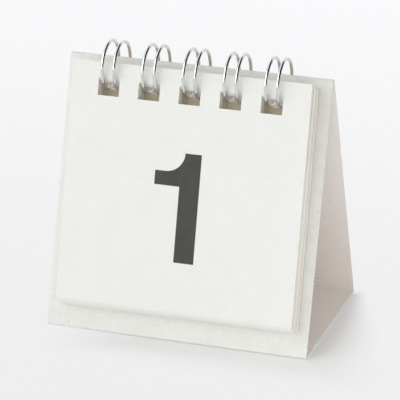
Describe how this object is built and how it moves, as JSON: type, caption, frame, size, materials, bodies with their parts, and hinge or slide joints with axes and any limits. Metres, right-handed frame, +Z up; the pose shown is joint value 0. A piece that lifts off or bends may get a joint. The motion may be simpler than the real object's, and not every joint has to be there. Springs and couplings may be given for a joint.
{
  "type": "perpetual desk calendar",
  "caption": "Small tent of folded card with a pad of loose day sheets bound over its ridge by twin-loop wire; the front sheet turns up and over on the loops.",
  "frame": {"origin": "centre of the base panel's underside", "axes": "+X along the ridge to the reader's right, +Y from the sheets to the back panel, +Z up"},
  "size_m": [0.082, 0.0546, 0.0857],
  "materials": {
    "card": "uncoated off-white recycled card with fine specks",
    "paper": "smooth matt cream-white paper",
    "wire": "bright nickel-plated steel wire"
  },
  "bodies": {
    "stand": {"stand": "card", "binding_wire": "wire", "sheet_block": "paper"},
    "front_sheet": {"front_sheet": "paper"}
  },
  "joints": [
    {"name": "front_sheet_turn", "type": "hinge", "parent": "stand", "child": "front_sheet", "pos_m": [0, -0.00387, 0.07802], "axis": [-1, 0, 0], "range_deg": [0, 150]}
  ]
}
